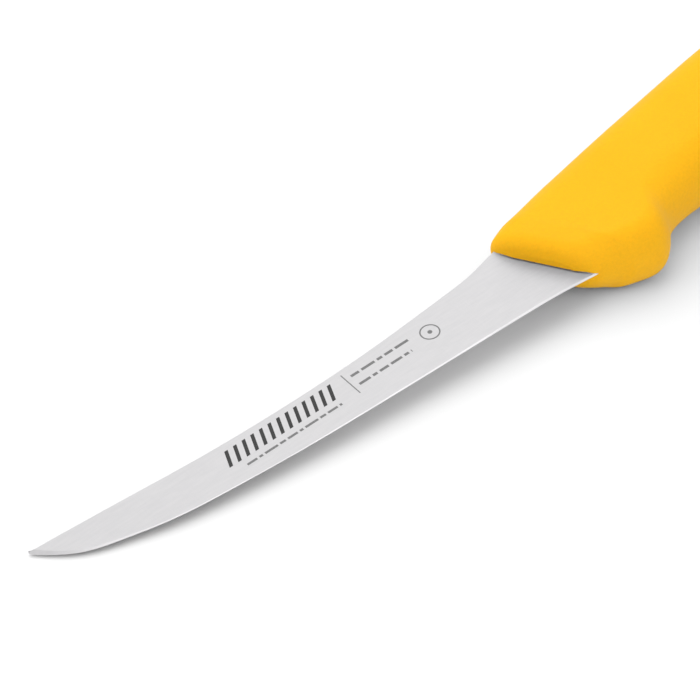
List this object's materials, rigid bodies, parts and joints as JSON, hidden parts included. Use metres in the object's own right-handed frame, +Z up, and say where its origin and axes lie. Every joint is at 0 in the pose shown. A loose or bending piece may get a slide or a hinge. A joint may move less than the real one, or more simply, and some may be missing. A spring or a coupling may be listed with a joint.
{
  "type": "boning knife",
  "caption": "Curved boning knife: slim flat-ground steel blade with an upswept tip, in a moulded yellow plastic handle with a finger guard and a hooked butt.",
  "frame": {"origin": "on the surface that the knife lies on, under the middle of its bounding box", "axes": "+X along the knife from the tip towards the butt, +Y towards the spine side, +Z up, roughly square to the blade's flat side"},
  "size_m": [0.2656, 0.0435, 0.0277],
  "materials": {
    "blade_steel": "finely ground, satin, with a polished cutting bevel",
    "handle_plastic": "moulded polypropylene, fine spark-eroded grain at the front"
  },
  "bodies": {
    "root": {"blade": "blade_steel", "handle": "handle_plastic"}
  },
  "joints": []
}
